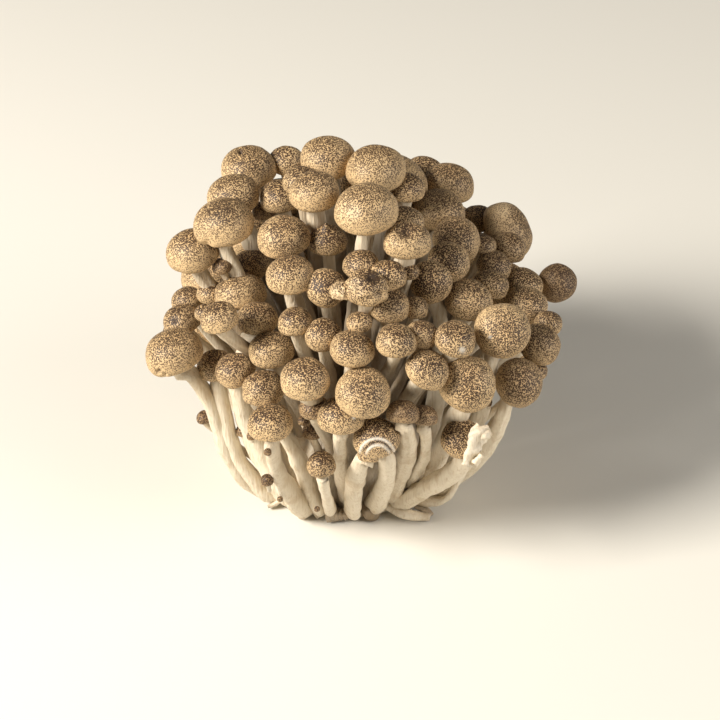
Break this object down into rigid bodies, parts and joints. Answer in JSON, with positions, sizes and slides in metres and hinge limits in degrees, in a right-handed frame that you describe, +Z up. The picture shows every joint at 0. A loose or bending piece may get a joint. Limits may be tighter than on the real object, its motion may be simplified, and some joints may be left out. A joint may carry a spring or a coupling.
{
  "type": "beech mushroom cluster",
  "caption": "Cluster of brown beech mushrooms: speckled rounded caps on cream stems that fan out from one trimmed foot, standing on its flat cut.",
  "frame": {"origin": "on the flat cut foot, straight under the middle of the crown", "axes": "+Z up along the bunch, -Y the front side that the picture shows, +X to the right of that view"},
  "size_m": [0.1296, 0.1274, 0.1134],
  "materials": {
    "cap_skin": "dry matt skin, tan with fine dark brown speckles, paler at the rolled-in margin",
    "stem_flesh": "smooth firm cream flesh with faint fibres along the stem, a soft waxy sheen"
  },
  "bodies": {
    "root": {"stem_bunch": "stem_flesh", "cap_lobed": "cap_skin", "cap_ball_low": "cap_skin", "cap_torn": "cap_skin", "cap_low_left": "cap_skin", "cap_dark_low": "cap_skin", "cap_front": "cap_skin", "cap_left_of_front": "cap_skin", "cap_tilted": "cap_skin", "cap_facing_low": "cap_skin", "cap_facing_right": "cap_skin", "cap_right_pair": "cap_skin", "cap_right_low": "cap_skin", "cap_left_low": "cap_skin", "cap_shaded_low": "cap_skin", "cap_left_pair": "cap_skin", "cap_far_left": "cap_skin", "cap_pair_left": "cap_skin", "cap_middle_pair": "cap_skin", "cap_nick": "cap_skin", "cap_middle_right": "cap_skin", "cap_middle_left": "cap_skin", "cap_small_left": "cap_skin", "cap_lumpy": "cap_skin", "cap_small_middle": "cap_skin", "cap_under_lumpy": "cap_skin", "cap_lumpy_left": "cap_skin", "cap_flat_left": "cap_skin", "cap_centre_left": "cap_skin", "cap_upper_right": "cap_skin", "cap_right_edge": "cap_skin", "cap_round_right": "cap_skin", "cap_big_front": "cap_skin", "cap_dented": "cap_skin", "cap_upper_left": "cap_skin", "cap_pointed": "cap_skin", "cap_right_mid": "cap_skin", "cap_right_upper": "cap_skin", "cap_right_slim": "cap_skin", "cap_tall_right": "cap_skin", "cap_left_shoulder": "cap_skin", "cap_left_edge": "cap_skin", "cap_shaded_left": "cap_skin", "cap_top_left_mid": "cap_skin", "cap_top_left_small": "cap_skin", "cap_top_middle": "cap_skin", "cap_top_right": "cap_skin", "cap_top_left": "cap_skin", "pin_left": "cap_skin", "pin_left_low": "cap_skin", "pin_gap": "cap_skin", "cap_back_01": "cap_skin", "cap_back_02": "cap_skin", "cap_back_03": "cap_skin", "cap_back_04": "cap_skin", "cap_back_05": "cap_skin", "cap_back_06": "cap_skin", "cap_back_07": "cap_skin", "cap_back_08": "cap_skin"}
  },
  "joints": []
}
